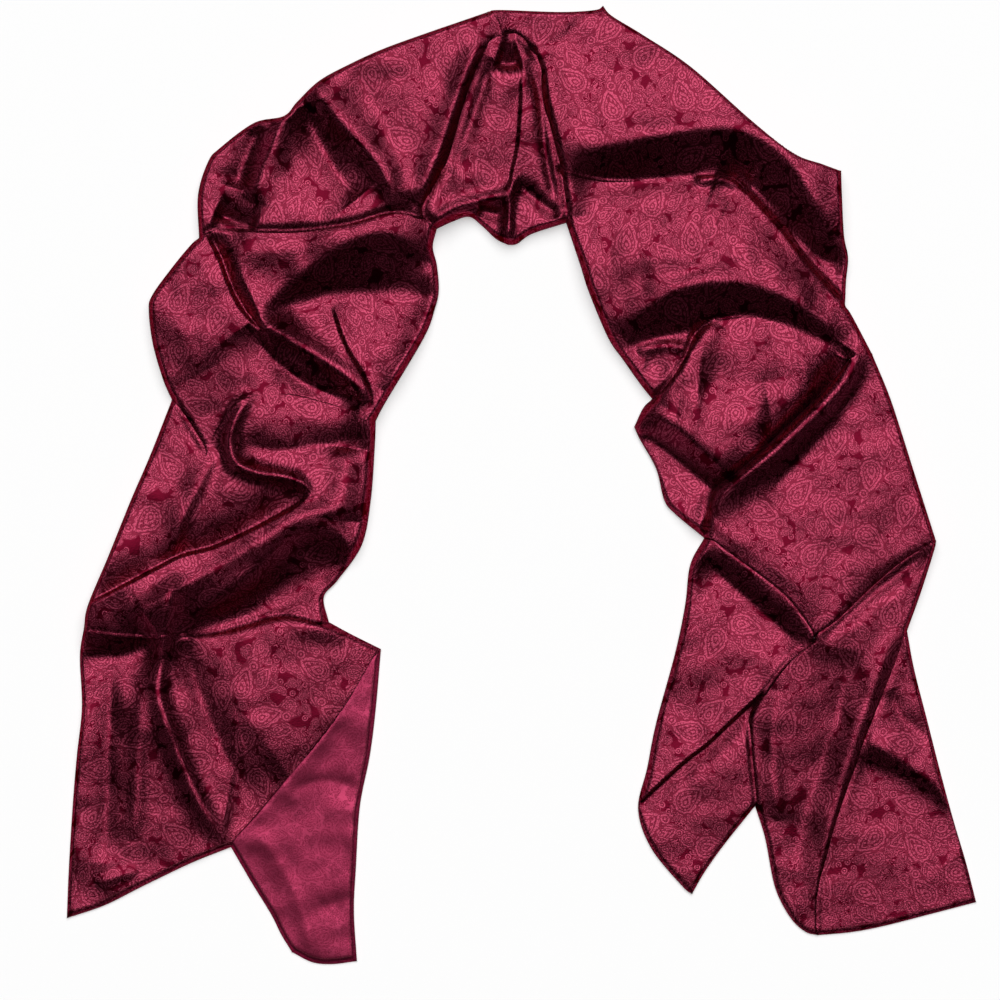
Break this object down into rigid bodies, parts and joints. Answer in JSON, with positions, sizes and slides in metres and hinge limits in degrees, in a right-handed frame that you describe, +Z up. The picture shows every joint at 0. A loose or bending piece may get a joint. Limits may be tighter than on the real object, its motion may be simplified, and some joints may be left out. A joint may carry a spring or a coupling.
{
  "type": "scarf",
  "caption": "Long satin jacquard scarf laid loosely in an arch, with rolled folds, pockets and hemmed ends that lie on each other.",
  "frame": {"origin": "centre of the laid scarf's outline, on the plane that it rests on", "axes": "+Z up from the table; +Y towards the crown of the arch, away from the two hemmed ends; +X from the arch's left leg to its right leg, seen from above"},
  "size_m": [0.8618, 0.9083, 0.0433],
  "materials": {
    "satin_face": "burgundy satin jacquard with a tone-on-tone paisley weave and a soft metallic sheen",
    "satin_reverse": "paler reverse of the burgundy jacquard, with the same pattern at low contrast"
  },
  "bodies": {
    "root": {"left_flap": "satin_reverse", "left_front": "satin_face", "left_leg": "satin_face", "left_bulge": "satin_face", "left_shoulder": "satin_face", "crown_inner": "satin_face", "right_shoulder": "satin_face", "right_middle": "satin_face", "right_tent": "satin_face", "right_knee": "satin_face", "right_tail": "satin_face", "right_end": "satin_face", "right_corner": "satin_face"}
  },
  "joints": []
}
